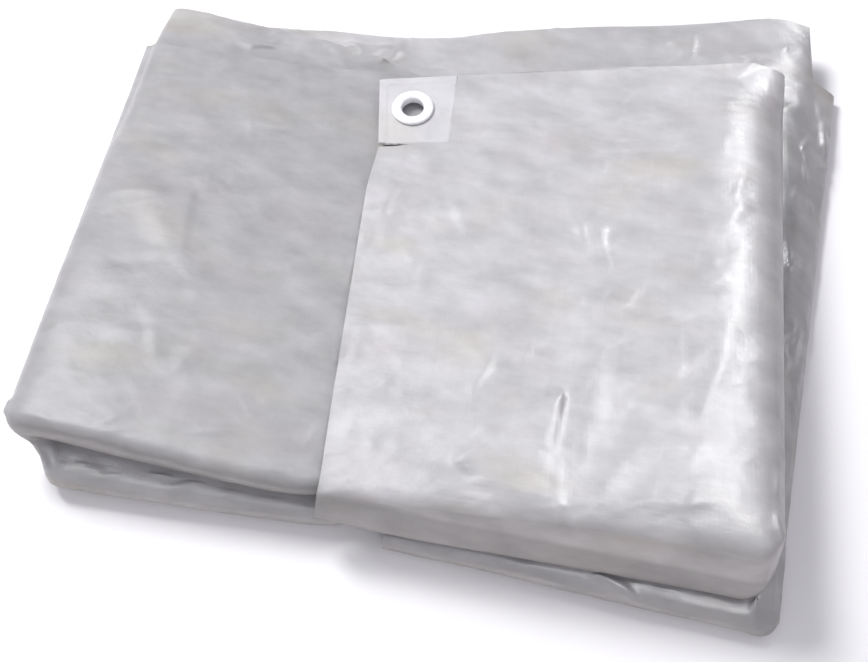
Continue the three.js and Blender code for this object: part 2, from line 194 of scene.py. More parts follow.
def wovenFilm(name, look, light, shade):
    material, tree, surface = newMaterial(name)
    across, along, at, turned = clothPlace(tree, look["slant"])
    long, wide = look["streak"]

    # tapes over and under each other
    pitch = look["tape"] * mm
    ridges = []
    for way in (across, along):
        turn = addNode(tree, "ShaderNodeMath", {"operation": "MULTIPLY", 1: math.pi / pitch}, {0: way})
        wave = addNode(tree, "ShaderNodeMath", {"operation": "SINE"}, {0: turn.outputs[0]})
        ridges.append(addNode(tree, "ShaderNodeMath", {"operation": "ABSOLUTE"}, {0: wave.outputs[0]}).outputs[0])
    cell = scaledPair(tree, across, along, look["tape"], look["tape"])
    over = addNode(tree, "ShaderNodeTexChecker", {"Scale": 1.0}, {"Vector": cell})
    tapes = addNode(tree, "ShaderNodeMix", links={0: over.outputs["Fac"], 2: ridges[0], 3: ridges[1]}).outputs[0]

    # streaks along both ways, broken up so that they come and go
    lengthwise = addNode(tree, "ShaderNodeTexNoise", {"Scale": 1.0, "Detail": 3.0, "Roughness": 0.6},
                         {"Vector": scaledPair(tree, across, along, long, wide)})
    crosswise = addNode(tree, "ShaderNodeTexNoise", {"Scale": 1.0, "Detail": 3.0, "Roughness": 0.6},
                        {"Vector": scaledPair(tree, across, along, wide, long * 0.7, 31.7)})
    patches = addNode(tree, "ShaderNodeTexNoise", {"Scale": 1.0, "Detail": 2.0},
                      {"Vector": scaledPair(tree, across, along, *look["weaveSwap"], 7.3)})
    chosen = addNode(tree, "ShaderNodeMapRange", {"From Min": 0.3, "From Max": 0.7}, {"Value": patches.outputs[0]})
    streaks = addNode(tree, "ShaderNodeMix", links={0: chosen.outputs[0], 2: lengthwise.outputs[0],
                                                    3: crosswise.outputs[0]}).outputs[0]

    # small crinkles, drawn out a little along the packet
    crinkles = addNode(tree, "ShaderNodeTexNoise",
                       {"Scale": 1.0, "Detail": 2.5, "Roughness": 0.55, "Distortion": 0.6},
                       {"Vector": scaledPair(tree, across, along, look["crinkle"] * 1.5, look["crinkle"])})

    # wide soft swells, which break the gloss into patches
    swells = addNode(tree, "ShaderNodeTexNoise", {"Scale": 1.0, "Detail": 1.5, "Distortion": 0.8},
                     {"Vector": scaledPair(tree, across, along, look["swell"] * 1.2, look["swell"], 5.9)})

    # milky ground with paler and greyer places and very faint warm and rosy ones
    ground = addNode(tree, "ShaderNodeMix", {"data_type": "RGBA", 6: linearColour(shade), 7: linearColour(light)})
    mottle = addNode(tree, "ShaderNodeTexNoise", {"Scale": 1.0, "Detail": 3.5, "Roughness": 0.55},
                     {"Vector": scaledPair(tree, across, along, *look["blotch"], 3.1)})
    blotches = addNode(tree, "ShaderNodeMath", {"operation": "MULTIPLY_ADD", 1: look["streakShare"]},
                       {0: streaks, 2: mottle.outputs[0]})
    tone = addNode(tree, "ShaderNodeMapRange", {"From Min": 0.34, "From Max": 0.76}, {"Value": blotches.outputs[0]})
    tree.links.new(tone.outputs[0], ground.inputs[0])
    colour = ground.outputs[2]
    warmShare, roseShare = look["tintShare"]
    for tint, shift, share in ((look["warm"], 11.0, warmShare), (look["rose"], 23.0, roseShare)):
        spots = addNode(tree, "ShaderNodeTexNoise", {"Scale": 1.0, "Detail": 2.0},
                        {"Vector": scaledPair(tree, across, along, *look["tintSize"], shift)})
        amount = addNode(tree, "ShaderNodeMapRange", {"From Min": 0.56, "From Max": 0.74, "To Max": share},
                         {"Value": spots.outputs[0]})
        colour = addNode(tree, "ShaderNodeMix", {"data_type": "RGBA", 7: linearColour(tint)},
                         {0: amount.outputs[0], 6: colour}).outputs[2]

    # painted light: whiter where all the plies lie under it, standing in for light that comes through them, at the
    # low plies, lifted out of their shade, and along the far edge
    fromX, fromZ, slope = look["flapFrom"]
    beyond = addNode(tree, "ShaderNodeMath", {"operation": "GREATER_THAN", 1: fromX * mm}, {0: across})
    level = addNode(tree, "ShaderNodeMath", {"operation": "MULTIPLY_ADD", 1: -slope}, {0: across, 2: at["Z"]})
    lowest = fromZ - slope * look["slopeFrom"]
    above = addNode(tree, "ShaderNodeMapRange", {"From Min": lowest * mm, "From Max": (lowest + 3) * mm},
                    {"Value": level.outputs[0]})
    onFlap = addNode(tree, "ShaderNodeMath", {"operation": "MULTIPLY"}, {0: beyond.outputs[0], 1: above.outputs[0]})
    notRight = addNode(tree, "ShaderNodeMapRange",
                       {"From Min": look["lowRight"][1] * mm, "From Max": look["lowRight"][0] * mm,
                        "To Min": look["lowRightPaintedLight"], "To Max": look["lowPaintedLight"]}, {"Value": across})
    liesLow = addNode(tree, "ShaderNodeMapRange",
                      {"From Min": look["lowUpTo"][0] * mm, "From Max": look["lowUpTo"][1] * mm},
                      {"Value": at["Z"], "To Max": notRight.outputs[0]})
    atFar = addNode(tree, "ShaderNodeMapRange",
                    {"From Min": look["farBand"][0] * mm, "From Max": look["farBand"][1] * mm,
                     "To Min": 1.0, "To Max": 1.0 + look["farPaintedLight"]}, {"Value": at["Y"]})
    lift = addNode(tree, "ShaderNodeMath", {"operation": "MULTIPLY_ADD", 1: look["flapPaintedLight"]},
                   {0: onFlap.outputs[0], 2: atFar.outputs[0]})
    lift = addNode(tree, "ShaderNodeMath", {"operation": "ADD"}, {0: lift.outputs[0], 1: liesLow.outputs[0]})
    colour = addNode(tree, "ShaderNodeVectorMath", {"operation": "SCALE"},
                     {0: colour, "Scale": lift.outputs[0]}).outputs[0]

    # painted shade on the fronts of the folds and the right sides, by how far their faces lean over
    forward = addNode(tree, "ShaderNodeMapRange", {"From Min": -0.35, "From Max": -0.95}, {"Value": turned["Y"]})
    aside = addNode(tree, "ShaderNodeMapRange", {"From Min": 0.16, "From Max": 0.6}, {"Value": turned["X"]})
    for paintedShadeShare, tone in ((forward, look["frontPaintedShade"]), (aside, look["sidePaintedShade"])):
        colour = addNode(tree, "ShaderNodeMix",
                         {"data_type": "RGBA", "blend_type": "MULTIPLY", 7: linearColour(tone)},
                         {0: paintedShadeShare.outputs[0], 6: colour}).outputs[2]
    tree.links.new(colour, surface.inputs["Base Color"])

    least, most = look["roughness"]
    gloss = addNode(tree, "ShaderNodeMapRange", {"From Min": 0.3, "From Max": 0.7, "To Min": least, "To Max": most},
                    {"Value": streaks})
    tree.links.new(gloss.outputs[0], surface.inputs["Roughness"])

    bump = None
    for height, depth in ((swells.outputs[0], look["swellDepth"]), (crinkles.outputs[0], look["crinkleDepth"]),
                          (streaks, look["streakDepth"]), (tapes, look["tapeDepth"])):
        links = {"Height": height}
        if bump:
            links["Normal"] = bump
        bump = addNode(tree, "ShaderNodeBump", {"Strength": 1.0, "Distance": depth * mm}, links).outputs[0]
    tree.links.new(bump, surface.inputs["Normal"])
    surface.inputs["IOR"].default_value = 1.51        # polyethylene
    # a film reflects from both of its faces, but its crumpled sides and hollows hardly mirror the floor
    mirrored = addNode(tree, "ShaderNodeMapRange",
                       {"From Min": -0.1, "From Max": 0.35, "To Min": 0.15, "To Max": 1.0}, {"Value": turned["Z"]})
    tree.links.new(mirrored.outputs[0], surface.inputs["Specular IOR Level"])
    surface.inputs["Subsurface Weight"].default_value = 0.12
    surface.inputs["Subsurface Radius"].default_value = (1.0, 1.0, 1.0)
    surface.inputs["Subsurface Scale"].default_value = 2.5 * mm
    return material


# Moulded polyethylene: bright white, softly glossy, with faint flow marks from the mould.
mouldedLook = {
    "light": "#f4f4f6",
    "shade": "#e3e3e8",
    "roughness": (0.26, 0.4),
    "flow": 6,               # mm, size of the flow marks
    "grain": 0.7,            # mm, size and depth of the surface's grain
    "grainDepth": 0.02,
}


def mouldedPlastic(name, look):
    material, tree, surface = newMaterial(name)
    place = addNode(tree, "ShaderNodeTexCoord").outputs["Object"]
    flow = addNode(tree, "ShaderNodeTexNoise", {"Scale": 1 / (look["flow"] * mm), "Detail": 3.0, "Distortion": 1.2},
                   {"Vector": place})
    grain = addNode(tree, "ShaderNodeTexNoise", {"Scale": 1 / (look["grain"] * mm), "Detail": 2.0}, {"Vector": place})
    colour = addNode(tree, "ShaderNodeMix",
                     {"data_type": "RGBA", 6: linearColour(look["shade"]), 7: linearColour(look["light"])},
                     {0: flow.outputs[0]})
    tree.links.new(colour.outputs[2], surface.inputs["Base Color"])
    least, most = look["roughness"]
    gloss = addNode(tree, "ShaderNodeMapRange", {"From Min": 0.3, "From Max": 0.7, "To Min": least, "To Max": most},
                    {"Value": flow.outputs[0]})
    tree.links.new(gloss.outputs[0], surface.inputs["Roughness"])
    bump = addNode(tree, "ShaderNodeBump", {"Distance": look["grainDepth"] * mm}, {"Height": grain.outputs[0]})
    tree.links.new(bump.outputs[0], surface.inputs["Normal"])
    surface.inputs["IOR"].default_value = 1.51
    surface.inputs["Subsurface Weight"].default_value = 0.1
    surface.inputs["Subsurface Radius"].default_value = (1.0, 1.0, 1.0)
    surface.inputs["Subsurface Scale"].default_value = 1.5 * mm
    return material


# The corner strip is the same cloth doubled, so it looks a little whiter.
filmMaterial = wovenFilm("coated woven polyethylene", filmLook, filmLook["light"], filmLook["shade"])
stripMaterial = wovenFilm("doubled woven polyethylene", filmLook, "#b4b3b6", "#a7a6a9")
eyeletMaterial = mouldedPlastic("moulded polyethylene", mouldedLook)
for nodeName, material in (("sheet", filmMaterial), ("corner_strip", stripMaterial), ("eyelet", eyeletMaterial)):
    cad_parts[nodeName].data.materials.clear()
    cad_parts[nodeName].data.materials.append(material)
print("materials made")


# The folded sheet.

sheetShape = {
    "weld": 0.02,            # mm, points nearer than this are one
    "pairBend": 50,          # degrees, most bend inside a pair of triangles
    "rimBend": 58,           # degrees, a sharper edge on a face smaller than this many mm2 is a cut edge
    "rimFace": 60,
    "fine": 2.3,             # mm between points where the photo looks
    "coarse": 5.0,           # mm between points on the other faces that show
    "outerCut": 0.15,        # mm taken off the outer face of the thick solid, and off the inner
    "innerCut": 0.7,
    "deepest": -0.9,         # mm, the deepest trough, and so far the hidden faces sink, to stay out of sight
    "foldDepth": 0.55,       # mm, the crinkles of the rounded folds, and how far of that they go inwards
    "foldInwards": -0.7,
}

# Creases of the upper faces: middle, turn in degrees, half length, widths to the right and the left
# of the ridge line, height (below zero is a trough), and how blunt its top is. All in millimetres.
creaseRows = [
    # the wide panel, left
    (-178, -24, 16, 17, 5, 12, 1.3, 0.4),
    (-157, -44, -50, 30, 10, 24, 1.5, 0.5),
    (-157, -68, 14, 24, 9, 5, -0.9, 0.6),
    (-158, 36, 4, 24, 4, 7, 0.6, 0.4),
    (-125, 40, 7, 20, 5, 5, 0.5, 0.5),
    (-148, 57, -4, 10, 6, 6, -0.5, 0.8),
    (-144, 12, -2, 12, 6, 6, -0.5, 0.8),
    (-138, -112, -68, 17, 4, 12, 1.2, 0.3),
    (-150, -112, 10, 16, 5, 5, 0.6, 0.5),
    (-116, -120, 68, 16, 6, 9, 0.9, 0.4),
    (-118, -80, 10, 34, 7, 12, 0.9, 0.5),
    (-57, -71, -12, 26, 6, 14, 1.0, 0.4),
    (-88, -94, 46, 24, 12, 12, -1.1, 0.8),
    (-59, -93, 46, 15, 7, 8, 0.8, 0.5),
    (-61, -128, 30, 22, 9, 9, 0.6, 0.6),
    (-143, -146, 7, 44, 8, 12, 0.6, 0.7),
    (-88, -155, 20, 16, 3, 5, 0.5, 0.4),
    (-101, 74, 60, 30, 16, 16, -0.8, 0.9),
    (-69, 55, 78, 30, 10, 14, 0.8, 0.7),
    (-93, -40, 80, 60, 26, 26, -0.6, 0.9),
    # the far band of the wide panel
    (-141, 104, 3, 26, 4, 9, 0.8, 0.4),
    (-104, 104, -7, 20, 4, 9, 0.8, 0.4),
    (-67, 109, 17, 28, 4, 8, 0.9, 0.4),
    (-136, 120, 66, 10, 4, 6, 1.2, 0.3),
    (-99, 112, -34, 13, 5, 6, 1.5, 0.3),
    (-75, 118, 43, 20, 5, 7, 1.7, 0.3),
    (-61, 128, 80, 9, 4, 4, 1.2, 0.3),
    (-47, 112, 8, 34, 4, 5, 1.3, 0.3),
    (-20, 110, 6, 26, 4, 5, 1.0, 0.4),
    (-86, 120, -32, 10, 3, 5, 2.3, 0.3),
    (-64, 117, 52, 9, 4, 4, 1.6, 0.3),
    # the flap
    (-35, -10, -79, 40, 5, 9, 0.8, 0.4),
    (-30, -95, -88, 14, 5, 6, 0.9, 0.4),
    (-19, -4, -96, 26, 6, 9, 1.0, 0.4),
    (-14, -36, -56, 12, 4, 6, 0.8, 0.4),
    (7, -6, -57, 17, 4, 7, 1.0, 0.3),
    (58, 22, -44, 13, 5, 8, 1.0, 0.3),
    (74, -3, -64, 17, 5, 8, 1.3, 0.3),
    (50, -11, -86, 8, 5, 5, 0.7, 0.4),
    (46, -4, 20, 12, 4, 6, 0.5, 0.5),
    (28, 64, 7, 30, 4, 4, -0.6, 0.6),
    (24, 44, 8, 28, 4, 5, -0.7, 0.6),
    (55, 96, 6, 18, 3, 6, 0.7, 0.4),
    (90, 55, 9, 20, 5, 5, -0.6, 0.6),
    (101, 82, 9, 36, 5, 6, 0.5, 0.5),
    (39, -97, 76, 17, 4, 7, 1.1, 0.3),
    (61, -133, 62, 32, 10, 10, -0.7, 0.6),
    (68, -159, -6, 26, 7, 10, 1.2, 0.3),
    (89, -163, -75, 10, 4, 5, 1.0, 0.3),
    (117, -133, 63, 34, 12, 9, 0.9, 0.5),
    (142, -122, 12, 28, 6, 8, 0.7, 0.5),
    (141, -150, 8, 38, 6, 9, 0.8, 0.5),
    (156, 24, 68, 16, 7, 10, 0.9, 0.5),
    (155, -74, 80, 34, 9, 9, 0.9, 0.5),
    (97, -89, -82, 32, 7, 7, 0.5, 0.6),
    (125, -155, 8, 36, 4, 6, 0.6, 0.4),
    # the far band at the right
    (67, 155, -54, 10, 4, 5, 0.9, 0.3),
    (119, 163, -86, 13, 3, 5, 1.2, 0.3),
    (100, 160, 4, 16, 4, 6, 0.7, 0.5),
    (159, 140, 50, 24, 4, 7, 1.2, 0.3),
    # the pinch in the base's front fold
    (121, -184, -32, 15, 4, 6, 2.4, 0.3),
    (133, -189, -36, 12, 3, 4, 2.2, 0.3),
]

# Flat facets between creases: three corners, each with x, y and height, in millimetres.
facetRows = [
    ((79, -107, 2.6), (38, -148, 2.4), (78, -171, -0.6)),
    ((-181, -26, 0.2), (-148, -22, 1.6), (-138, -70, 0.0)),
    ((84, 0, 1.3), (70, 12, 0.0), (96, -34, 0.2)),
    ((5, 2, 1.0), (17, -24, 0.0), (22, 4, 0.0)),
    ((-50, -2, 0.0), (-33, 18, 1.0), (-46, -52, 0.4)),
    ((-92, 122, 2.6), (-58, 124, 1.6), (-70, 107, 0.0)),
]
facetEdge = 7                # mm over which a facet dies out round its corners

# The flap's right shoulder rises to a soft crown and rolls off to the right. Millimetres.
shoulder = {
    "crown": 149, "lean": 0.0998, "leanFrom": 8,   # the crown's x, and how it leans with y
    "high": 3.0, "leftRun": 52,
    "fall": 8.0, "rightRun": 36,
    "far": (132, 104), "near": (-166, -138),       # fades out between these at its two ends
    "above": 26, "over": 16,                       # and downwards, over this much height
}

# The flap's free edge is drawn in to the right below the strip, from this y on and left of this x.
drawnEdge = {"by": 3.0, "from": 0, "to": 38, "left": -25, "over": 20, "above": 26}

# Small random creases, region by region: x and y from and to, how many, half lengths, widths and
# heights from and to, and the turns that they keep near to.
smallRows = [
    ((-206, -57), (-150, 100), 90, (5, 18), (2.5, 6), (0.1, 0.45), (7, 7, 83)),
    ((-190, -57), (98, 135), 40, (4, 12), (2, 5), (0.2, 0.8), (7, 60, -40)),
    ((-47, 3), (-150, 40), 70, (4, 13), (2, 5), (0.15, 0.7), (80, 100, 20)),
    ((3, 163), (-150, 110), 170, (5, 18), (2, 6), (0.1, 0.5), (8, 83, 95, 60)),
    ((-57, 193), (110, 178), 70, (4, 12), (2, 5), (0.15, 0.7), (10, 80, -50)),
    ((191, 215), (-180, 140), 70, (5, 14), (1.5, 4), (0.5, 1.7), (80, 100, 70)),
    ((-200, 203), (-195, -150), 90, (5, 18), (1.5, 4), (0.1, 0.5), (4, 0, 30)),
]


def creaseHeights(x, y, rows):
    high = np.zeros(len(x))
    for cx, cy, turn, half, right, left, height, blunt in rows:
        c, s = math.cos(math.radians(turn)), math.sin(math.radians(turn))
        near = (np.abs(x - cx) < half + 30) & (np.abs(y - cy) < half + 30)
        dx, dy = x[near] - cx, y[near] - cy
        run = (dx * c + dy * s) / half
        side = dy * c - dx * s
        off = np.abs(side) / np.where(side > 0, left, right)
        fall = np.sqrt(off ** 2 + (blunt * 0.35) ** 2) - blunt * 0.35
        shape = np.clip(1 - fall, 0, 1) ** 1.6
        high[near] += height * shape * np.clip(1 - run ** 2, 0, 1) ** 1.3
    return high


def facetHeights(x, y, rows, edge):
    high = np.zeros(len(x))
    for corners in rows:
        (ax, ay, ah), (bx, by, bh), (cx, cy, ch) = corners
        whole = (bx - ax) * (cy - ay) - (cx - ax) * (by - ay)
        b = ((x - ax) * (cy - ay) - (cx - ax) * (y - ay)) / whole
        c = ((bx - ax) * (y - ay) - (x - ax) * (by - ay)) / whole
        shares = np.clip(np.array([1 - b - c, b, c]), 0, None)
        shares = shares / shares.sum(0)
        nearX = shares[0] * ax + shares[1] * bx + shares[2] * cx
        nearY = shares[0] * ay + shares[1] * by + shares[2] * cy
        away = np.hypot(x - nearX, y - nearY) / edge
        high += (shares[0] * ah + shares[1] * bh + shares[2] * ch) * (1 - easing(away))
    return high


def shoulderHeights(x, y, z, form):
    u = x + form["lean"] * (y - form["leanFrom"]) - form["crown"]
    left = form["high"] * (1 - easing(-u / form["leftRun"]))
    right = form["high"] - form["fall"] * np.clip(u / form["rightRun"], 0, 1.1) ** 2
    (farEnd, farFull), (nearEnd, nearFull) = form["far"], form["near"]
    ends = easing((farEnd - y) / (farEnd - farFull)) * easing((y - nearEnd) / (nearFull - nearEnd))
    return np.where(u < 0, left, right) * ends * easing((z - form["above"]) / form["over"])


def randomCreases(rows, seed):
    draw = np.random.RandomState(seed)
    made = []
    for xs, ys, count, longs, wides, highs, turns in rows:
        for _ in range(count):
            turn = turns[draw.randint(len(turns))] + draw.normal(0, 12)
            made.append((draw.uniform(*xs), draw.uniform(*ys), turn, draw.uniform(*longs), draw.uniform(*wides),
                         draw.uniform(*wides), draw.uniform(*highs), 0.4))
    return made


def towards(azimuth, elevation):  # a direction, from angles in degrees, with azimuth 0 at the front
    a, e = math.radians(azimuth), math.radians(elevation)
    return Vector((math.sin(a) * math.cos(e), -math.cos(a) * math.cos(e), math.sin(e)))


# Directions from which a face may be seen: the photo's and others from above, and then level ones.
highWays = [(13.7, 62.3), (0, 89), (120, 55), (240, 55), (350, 40), (60, 40)]
lowWays = [(turn, 14) for turn in range(0, 360, 45)]


def skyWays():
    return [towards(*way) for way in highWays + lowWays]


def foldedSheet(node, shape):
    source = node.data
    bm = bmesh.new()
    for v in source.vertices:
        bm.verts.new(v.co)
    bm.verts.ensure_lookup_table()
    for p in source.polygons:
        bm.faces.new([bm.verts[i] for i in p.vertices])
    bmesh.ops.remove_doubles(bm, verts=bm.verts, dist=shape["weld"] * mm)
    bmesh.ops.join_triangles(bm, faces=bm.faces, angle_face_threshold=math.radians(shape["pairBend"]),
                             angle_shape_threshold=math.radians(shape["pairBend"]))
    creased = bm.edges.layers.float.new("crease_edge")
    for edge in bm.edges:
        if edge.is_manifold and edge.calc_face_angle() > math.radians(shape["rimBend"]):
            if min(face.calc_area() for face in edge.link_faces) < shape["rimFace"] * mm * mm:
                edge[creased] = 1.0
    print("sheet:", len(bm.faces), "faces,", sum(len(f.verts) == 4 for f in bm.faces), "of them four-sided")
    mesh = bpy.data.meshes.new("sheetCloth")
    bm.to_mesh(mesh)
    bm.free()
    piece = bpy.data.objects.new("folded_sheet", mesh)
    bpy.context.scene.collection.objects.link(piece)
    guide = piece.copy()
    guide.data = mesh.copy()
    guide.name = "guide"
    bpy.context.scene.collection.objects.link(guide)
    for item, levels in ((piece, 1), (guide, 3)):
        rounding = item.modifiers.new("rounding", "SUBSURF")
        rounding.levels = rounding.render_levels = levels
        settle(item)

    # finer where it shows
    bm = bmesh.new()
    bm.from_mesh(piece.data)
    bm.normal_update()
    tree = BVHTree.FromBMesh(bm)
    ways = skyWays()
    shown = bm.faces.layers.int.new("shown")
    for face in bm.faces:
        start = face.calc_center_median() + face.normal * 0.2 * mm
        for k, way in enumerate(ways):
            if way.dot(face.normal) > 0.03 and tree.ray_cast(start, way)[0] is None:
                face[shown] = 2 if k < len(highWays) else 1
                break
    limits = {1: shape["coarse"] * mm, 2: shape["fine"] * mm}
    for step in range(5):
        edges = {e for f in bm.faces if f[shown] for e in f.edges if e.calc_length() > limits[f[shown]] * 1.25}
        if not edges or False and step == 2:
            break
        bmesh.ops.subdivide_edges(bm, edges=list(edges), cuts=1, use_grid_fill=True)
    bmesh.ops.triangulate(bm, faces=[f for f in bm.faces if len(f.verts) > 4])
    bm.to_mesh(piece.data)
    bm.free()
    print("sheet refined:", len(piece.data.vertices), "points")
    wrap = piece.modifiers.new("wrap", "SHRINKWRAP")
    wrap.target = guide
    wrap.wrap_method = "NEAREST_SURFACEPOINT"
    settle(piece)
    bpy.data.objects.remove(guide)
    return piece


# Takes the thick solid's skin down to a thin sheet and lays the creases on it. How far a point lies
# under the highest cloth tells the top faces, which take the creases, from the sides.
def thinAndCrease(piece, shape, rows):
    mesh = piece.data
    points, normals = places(mesh), facing(mesh)
    tree = BVHTree.FromPolygons([Vector(p) for p in points], [tuple(p.vertices) for p in mesh.polygons])
    ways = skyWays()
    openShare = np.zeros(len(points))
    drop = np.zeros(len(points))
    down, overhead = Vector((0, 0, -1)), 0.2
    for i, (p, n) in enumerate(zip(points, normals)):
        n = Vector(n)
        start = Vector(p) + n * 0.25 * mm
        free = sum(way.dot(n) > 0.02 and tree.ray_cast(start, way)[0] is None for way in ways)
        openShare[i] = free / 7
        met = [tree.ray_cast(Vector((p[0] + a * mm, p[1] + b * mm, overhead)), down)[0]
               for a, b in ((0, 0), (0.4, 0.3), (-0.4, -0.3))]
        drop[i] = max((place.z for place in met if place), default=p[2]) - p[2]
    openShare = np.clip(openShare, 0, 1)
    cut = np.where(openShare > 0, shape["outerCut"], shape["innerCut"]) * mm
    points = points - normals * cut[:, None]

    x, y = points[:, 0] / mm, points[:, 1] / mm
    onTop = 1 - easing((drop / mm - 1.9) / 2.2)
    z = points[:, 2] / mm
    lift = np.maximum(creaseHeights(x, y, rows) + facetHeights(x, y, facetRows, facetEdge), shape["deepest"])
    hidden = (openShare == 0) | (normals[:, 2] < -0.3) & (openShare < 0.3)
    lift = np.where(hidden, shape["deepest"], lift)
    points[:, 2] += (lift * onTop + shoulderHeights(x, y, z, shoulder)) * mm
    drawn = easing((y - drawnEdge["from"]) / (drawnEdge["to"] - drawnEdge["from"]))
    drawn *= easing((drawnEdge["left"] - x) / drawnEdge["over"])
    points[:, 0] += drawnEdge["by"] * drawn * easing((z - drawnEdge["above"]) / 2) * mm

    # the rounded folds, crinkled along their length
    aside = easing((drop / mm - 1.0) / 2.5) * openShare
    folds = np.array([noise.noise(Vector((p[0] / mm / 26, p[1] / mm / 22, p[2] / mm / 5))) +
                      0.6 * noise.noise(Vector((p[0] / mm / 9, p[1] / mm / 9, p[2] / mm / 3.2))) if w > 0.01 else 0.0
                      for p, w in zip(points, aside)])
    points += normals * (np.maximum(folds, shape["foldInwards"]) * aside * shape["foldDepth"] * mm)[:, None]
    points[:, 2] = np.maximum(points[:, 2], 0.0)
    movePlaces(mesh, points)


sheet = foldedSheet(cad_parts["sheet"], sheetShape)
thinAndCrease(sheet, sheetShape, creaseRows + randomCreases(smallRows, 11))
sheet.data.materials.clear()
sheet.data.materials.append(filmMaterial)
smoothShade(sheet, 62)
print("sheet creased:", len(sheet.data.polygons), "faces")


# The corner strip and its eyelet.

def plateFrame(points):  # middle, along, back and up of a flat node, from its own points
    middle = (points.max(0) + points.min(0)) / 2
    up = np.linalg.svd(points - points.mean(0), full_matrices=False)[2][2]
    up = up * np.sign(up[2])
    back = np.cross(up, (1, 0, 0))
    back = back / np.linalg.norm(back)
    return middle, np.cross(back, up), back, up


eyeletShape = {
    "outer": 12.5, "hole": 6.5, "neck": 8.2,   # radii, mm
    "lip": 1.75,             # thickness of a lip, and of its blunt edge
    "edge": 0.35,
    "grip": 1.05,            # half the thickness that it grips
    "steps": 96,
}


def eyeletRing(node, shape):
    middle, along, back, up = plateFrame(places(node.data))
    out, hole, neck, lip, edge, grip = (shape[k] for k in ("outer", "hole", "neck", "lip", "edge", "grip"))
    profile = []
    for side in (1, -1):
        mid, half = (out + hole) / 2, (out - hole) / 2
        arc = [(mid + half * math.cos(t) * (1 - 0.04 * math.sin(t)),
                side * (grip + edge + (lip - edge) * max(0, math.sin(t)) ** 0.8))
               for t in np.linspace(0, math.pi, 15)]
        part = [(neck, side * grip), (out - 0.5, side * grip), (out, side * (grip + 0.3))] + arc[1:]
        profile += part if side > 0 else part[::-1]
    verts, faces = [], []
    count, steps = len(profile), shape["steps"]
    for k in range(steps):
        c, s = math.cos(2 * math.pi * k / steps), math.sin(2 * math.pi * k / steps)
        for r, z in profile:
            verts.append(middle + mm * (along * r * c + back * r * s + up * z))
        this, following = k * count, (k + 1) % steps * count
        for j in range(count):
            n = (j + 1) % count
            faces.append((this + j, following + j, following + n, this + n))
    piece = newPiece("corner_eyelet", verts, faces, eyeletMaterial)
    smoothShade(piece, 50)
    return piece, (middle, along, back, up)


stripShape = {
    "thick": 1.5,
    "hole": 8.6,
    "spread": (0.0, 2.2, 2.0, 0.0),   # how far it laps over the sheet at its left, right, near and far edge
    "nearLeft": 1.2,                  # and its near left corner to the left
    "rings": 26, "steps": 160,
    "hem": 4.5, "hemHigh": 0.5,       # width and height of the turned hem along its free edges
    "hemStep": 0.9,                   # and the width of the step down from it
    "round": 0.7,
}


def cornerStrip(node, ringFrame, shape):
    middle, along, back, up = ringFrame
    raw = (places(node.data) - middle) / mm
    flat = np.column_stack([raw @ along, raw @ back])
    corners = [flat[np.argmax(flat @ np.array(way))] for way in ((-1, 1), (1, 1), (1, -1), (-1, -1))]
    left, right, near, far = shape["spread"]
    farLeft, farRight, nearRight, nearLeft = corners
    corners = [farLeft + (-left, far), farRight + (right, far), nearRight + (right, -near),
               nearLeft + (-left - shape["nearLeft"], -near)]
    steps, rings = shape["steps"], shape["rings"]

    def edgeReach(angle):  # how far the outline is from the eyelet that way
        ray = np.array([math.cos(angle), math.sin(angle)])
        best = 1e9
        for a, b in zip(corners, corners[1:] + corners[:1]):
            e = b - a
            cross = ray[0] * e[1] - ray[1] * e[0]
            if abs(cross) < 1e-9:
                continue
            t = (a[0] * e[1] - a[1] * e[0]) / cross
            u = (a[0] * ray[1] - a[1] * ray[0]) / cross
            if t > 0 and -1e-6 <= u <= 1 + 1e-6:
                best = min(best, t)
        return best

    def edgeDistance(p, k):
        a, b = corners[k], corners[(k + 1) % 4]
        e = (b - a) / np.linalg.norm(b - a)
        return abs((p - a)[0] * e[1] - (p - a)[1] * e[0])

    # even angles, with the four corners among them
    angles = sorted(set([round(2 * math.pi * k / steps - math.pi, 6) for k in range(steps)]
                        + [round(math.atan2(c[1], c[0]), 6) for c in corners]))
    verts, faces = [], []
    count = len(angles)
    for side in (1, -1):
        for ring in range(rings + 1):
            share = ring / rings
            for angle in angles:
                reach = shape["hole"] + (edgeReach(angle) - shape["hole"]) * share
                p = np.array([math.cos(angle), math.sin(angle)]) * reach
                hem = max(1 - easing((edgeDistance(p, k) - shape["hem"]) / shape["hemStep"]) for k in (0, 3))
                edge = min(edgeDistance(p, k) for k in range(4))
                rounded = math.sqrt(max(0.0, 1 - max(0.0, 1 - edge / shape["round"]) ** 2))
                wave = noise.noise(Vector((p[0] / 9, p[1] / 13, 4.2))) * 0.35
                wave += noise.noise(Vector((p[0] / 4, p[1] / 5, 1.2))) * 0.12
                calm = easing((reach - 12) / 6)  # level under the eyelet
                z = shape["thick"] / 2 * rounded + (hem * shape["hemHigh"] * rounded if side > 0 else 0)
                verts.append(middle + mm * (along * p[0] + back * p[1] + up * (side * z + wave * calm)))
    size = (rings + 1) * count
    for side in (0, 1):
        for ring in range(rings):
            for k in range(count):
                a, b = ring * count + k, ring * count + (k + 1) % count
                quad = (a, a + count, b + count, b)
                faces.append(tuple(size * side + i for i in (quad if side == 0 else quad[::-1])))
    for k in range(count):
        n = (k + 1) % count
        faces.append((k, n, size + n, size + k))
        outer = rings * count
        faces.append((outer + k, size + outer + k, size + outer + n, outer + n))
    piece = newPiece("corner_patch", verts, faces, stripMaterial)
    smoothShade(piece, 50)
    return piece


eyelet, ringFrame = eyeletRing(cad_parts["eyelet"], eyeletShape)
strip = cornerStrip(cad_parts["corner_strip"], ringFrame, stripShape)
print("corner strip and eyelet made")


# What rides on what.

for piece, node, slotName in ((sheet, "sheet", "film"), (strip, "corner_strip", "doubled_film"),
                              (eyelet, "eyelet", "moulded_plastic")):
    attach(piece, "root")
    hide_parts(node)


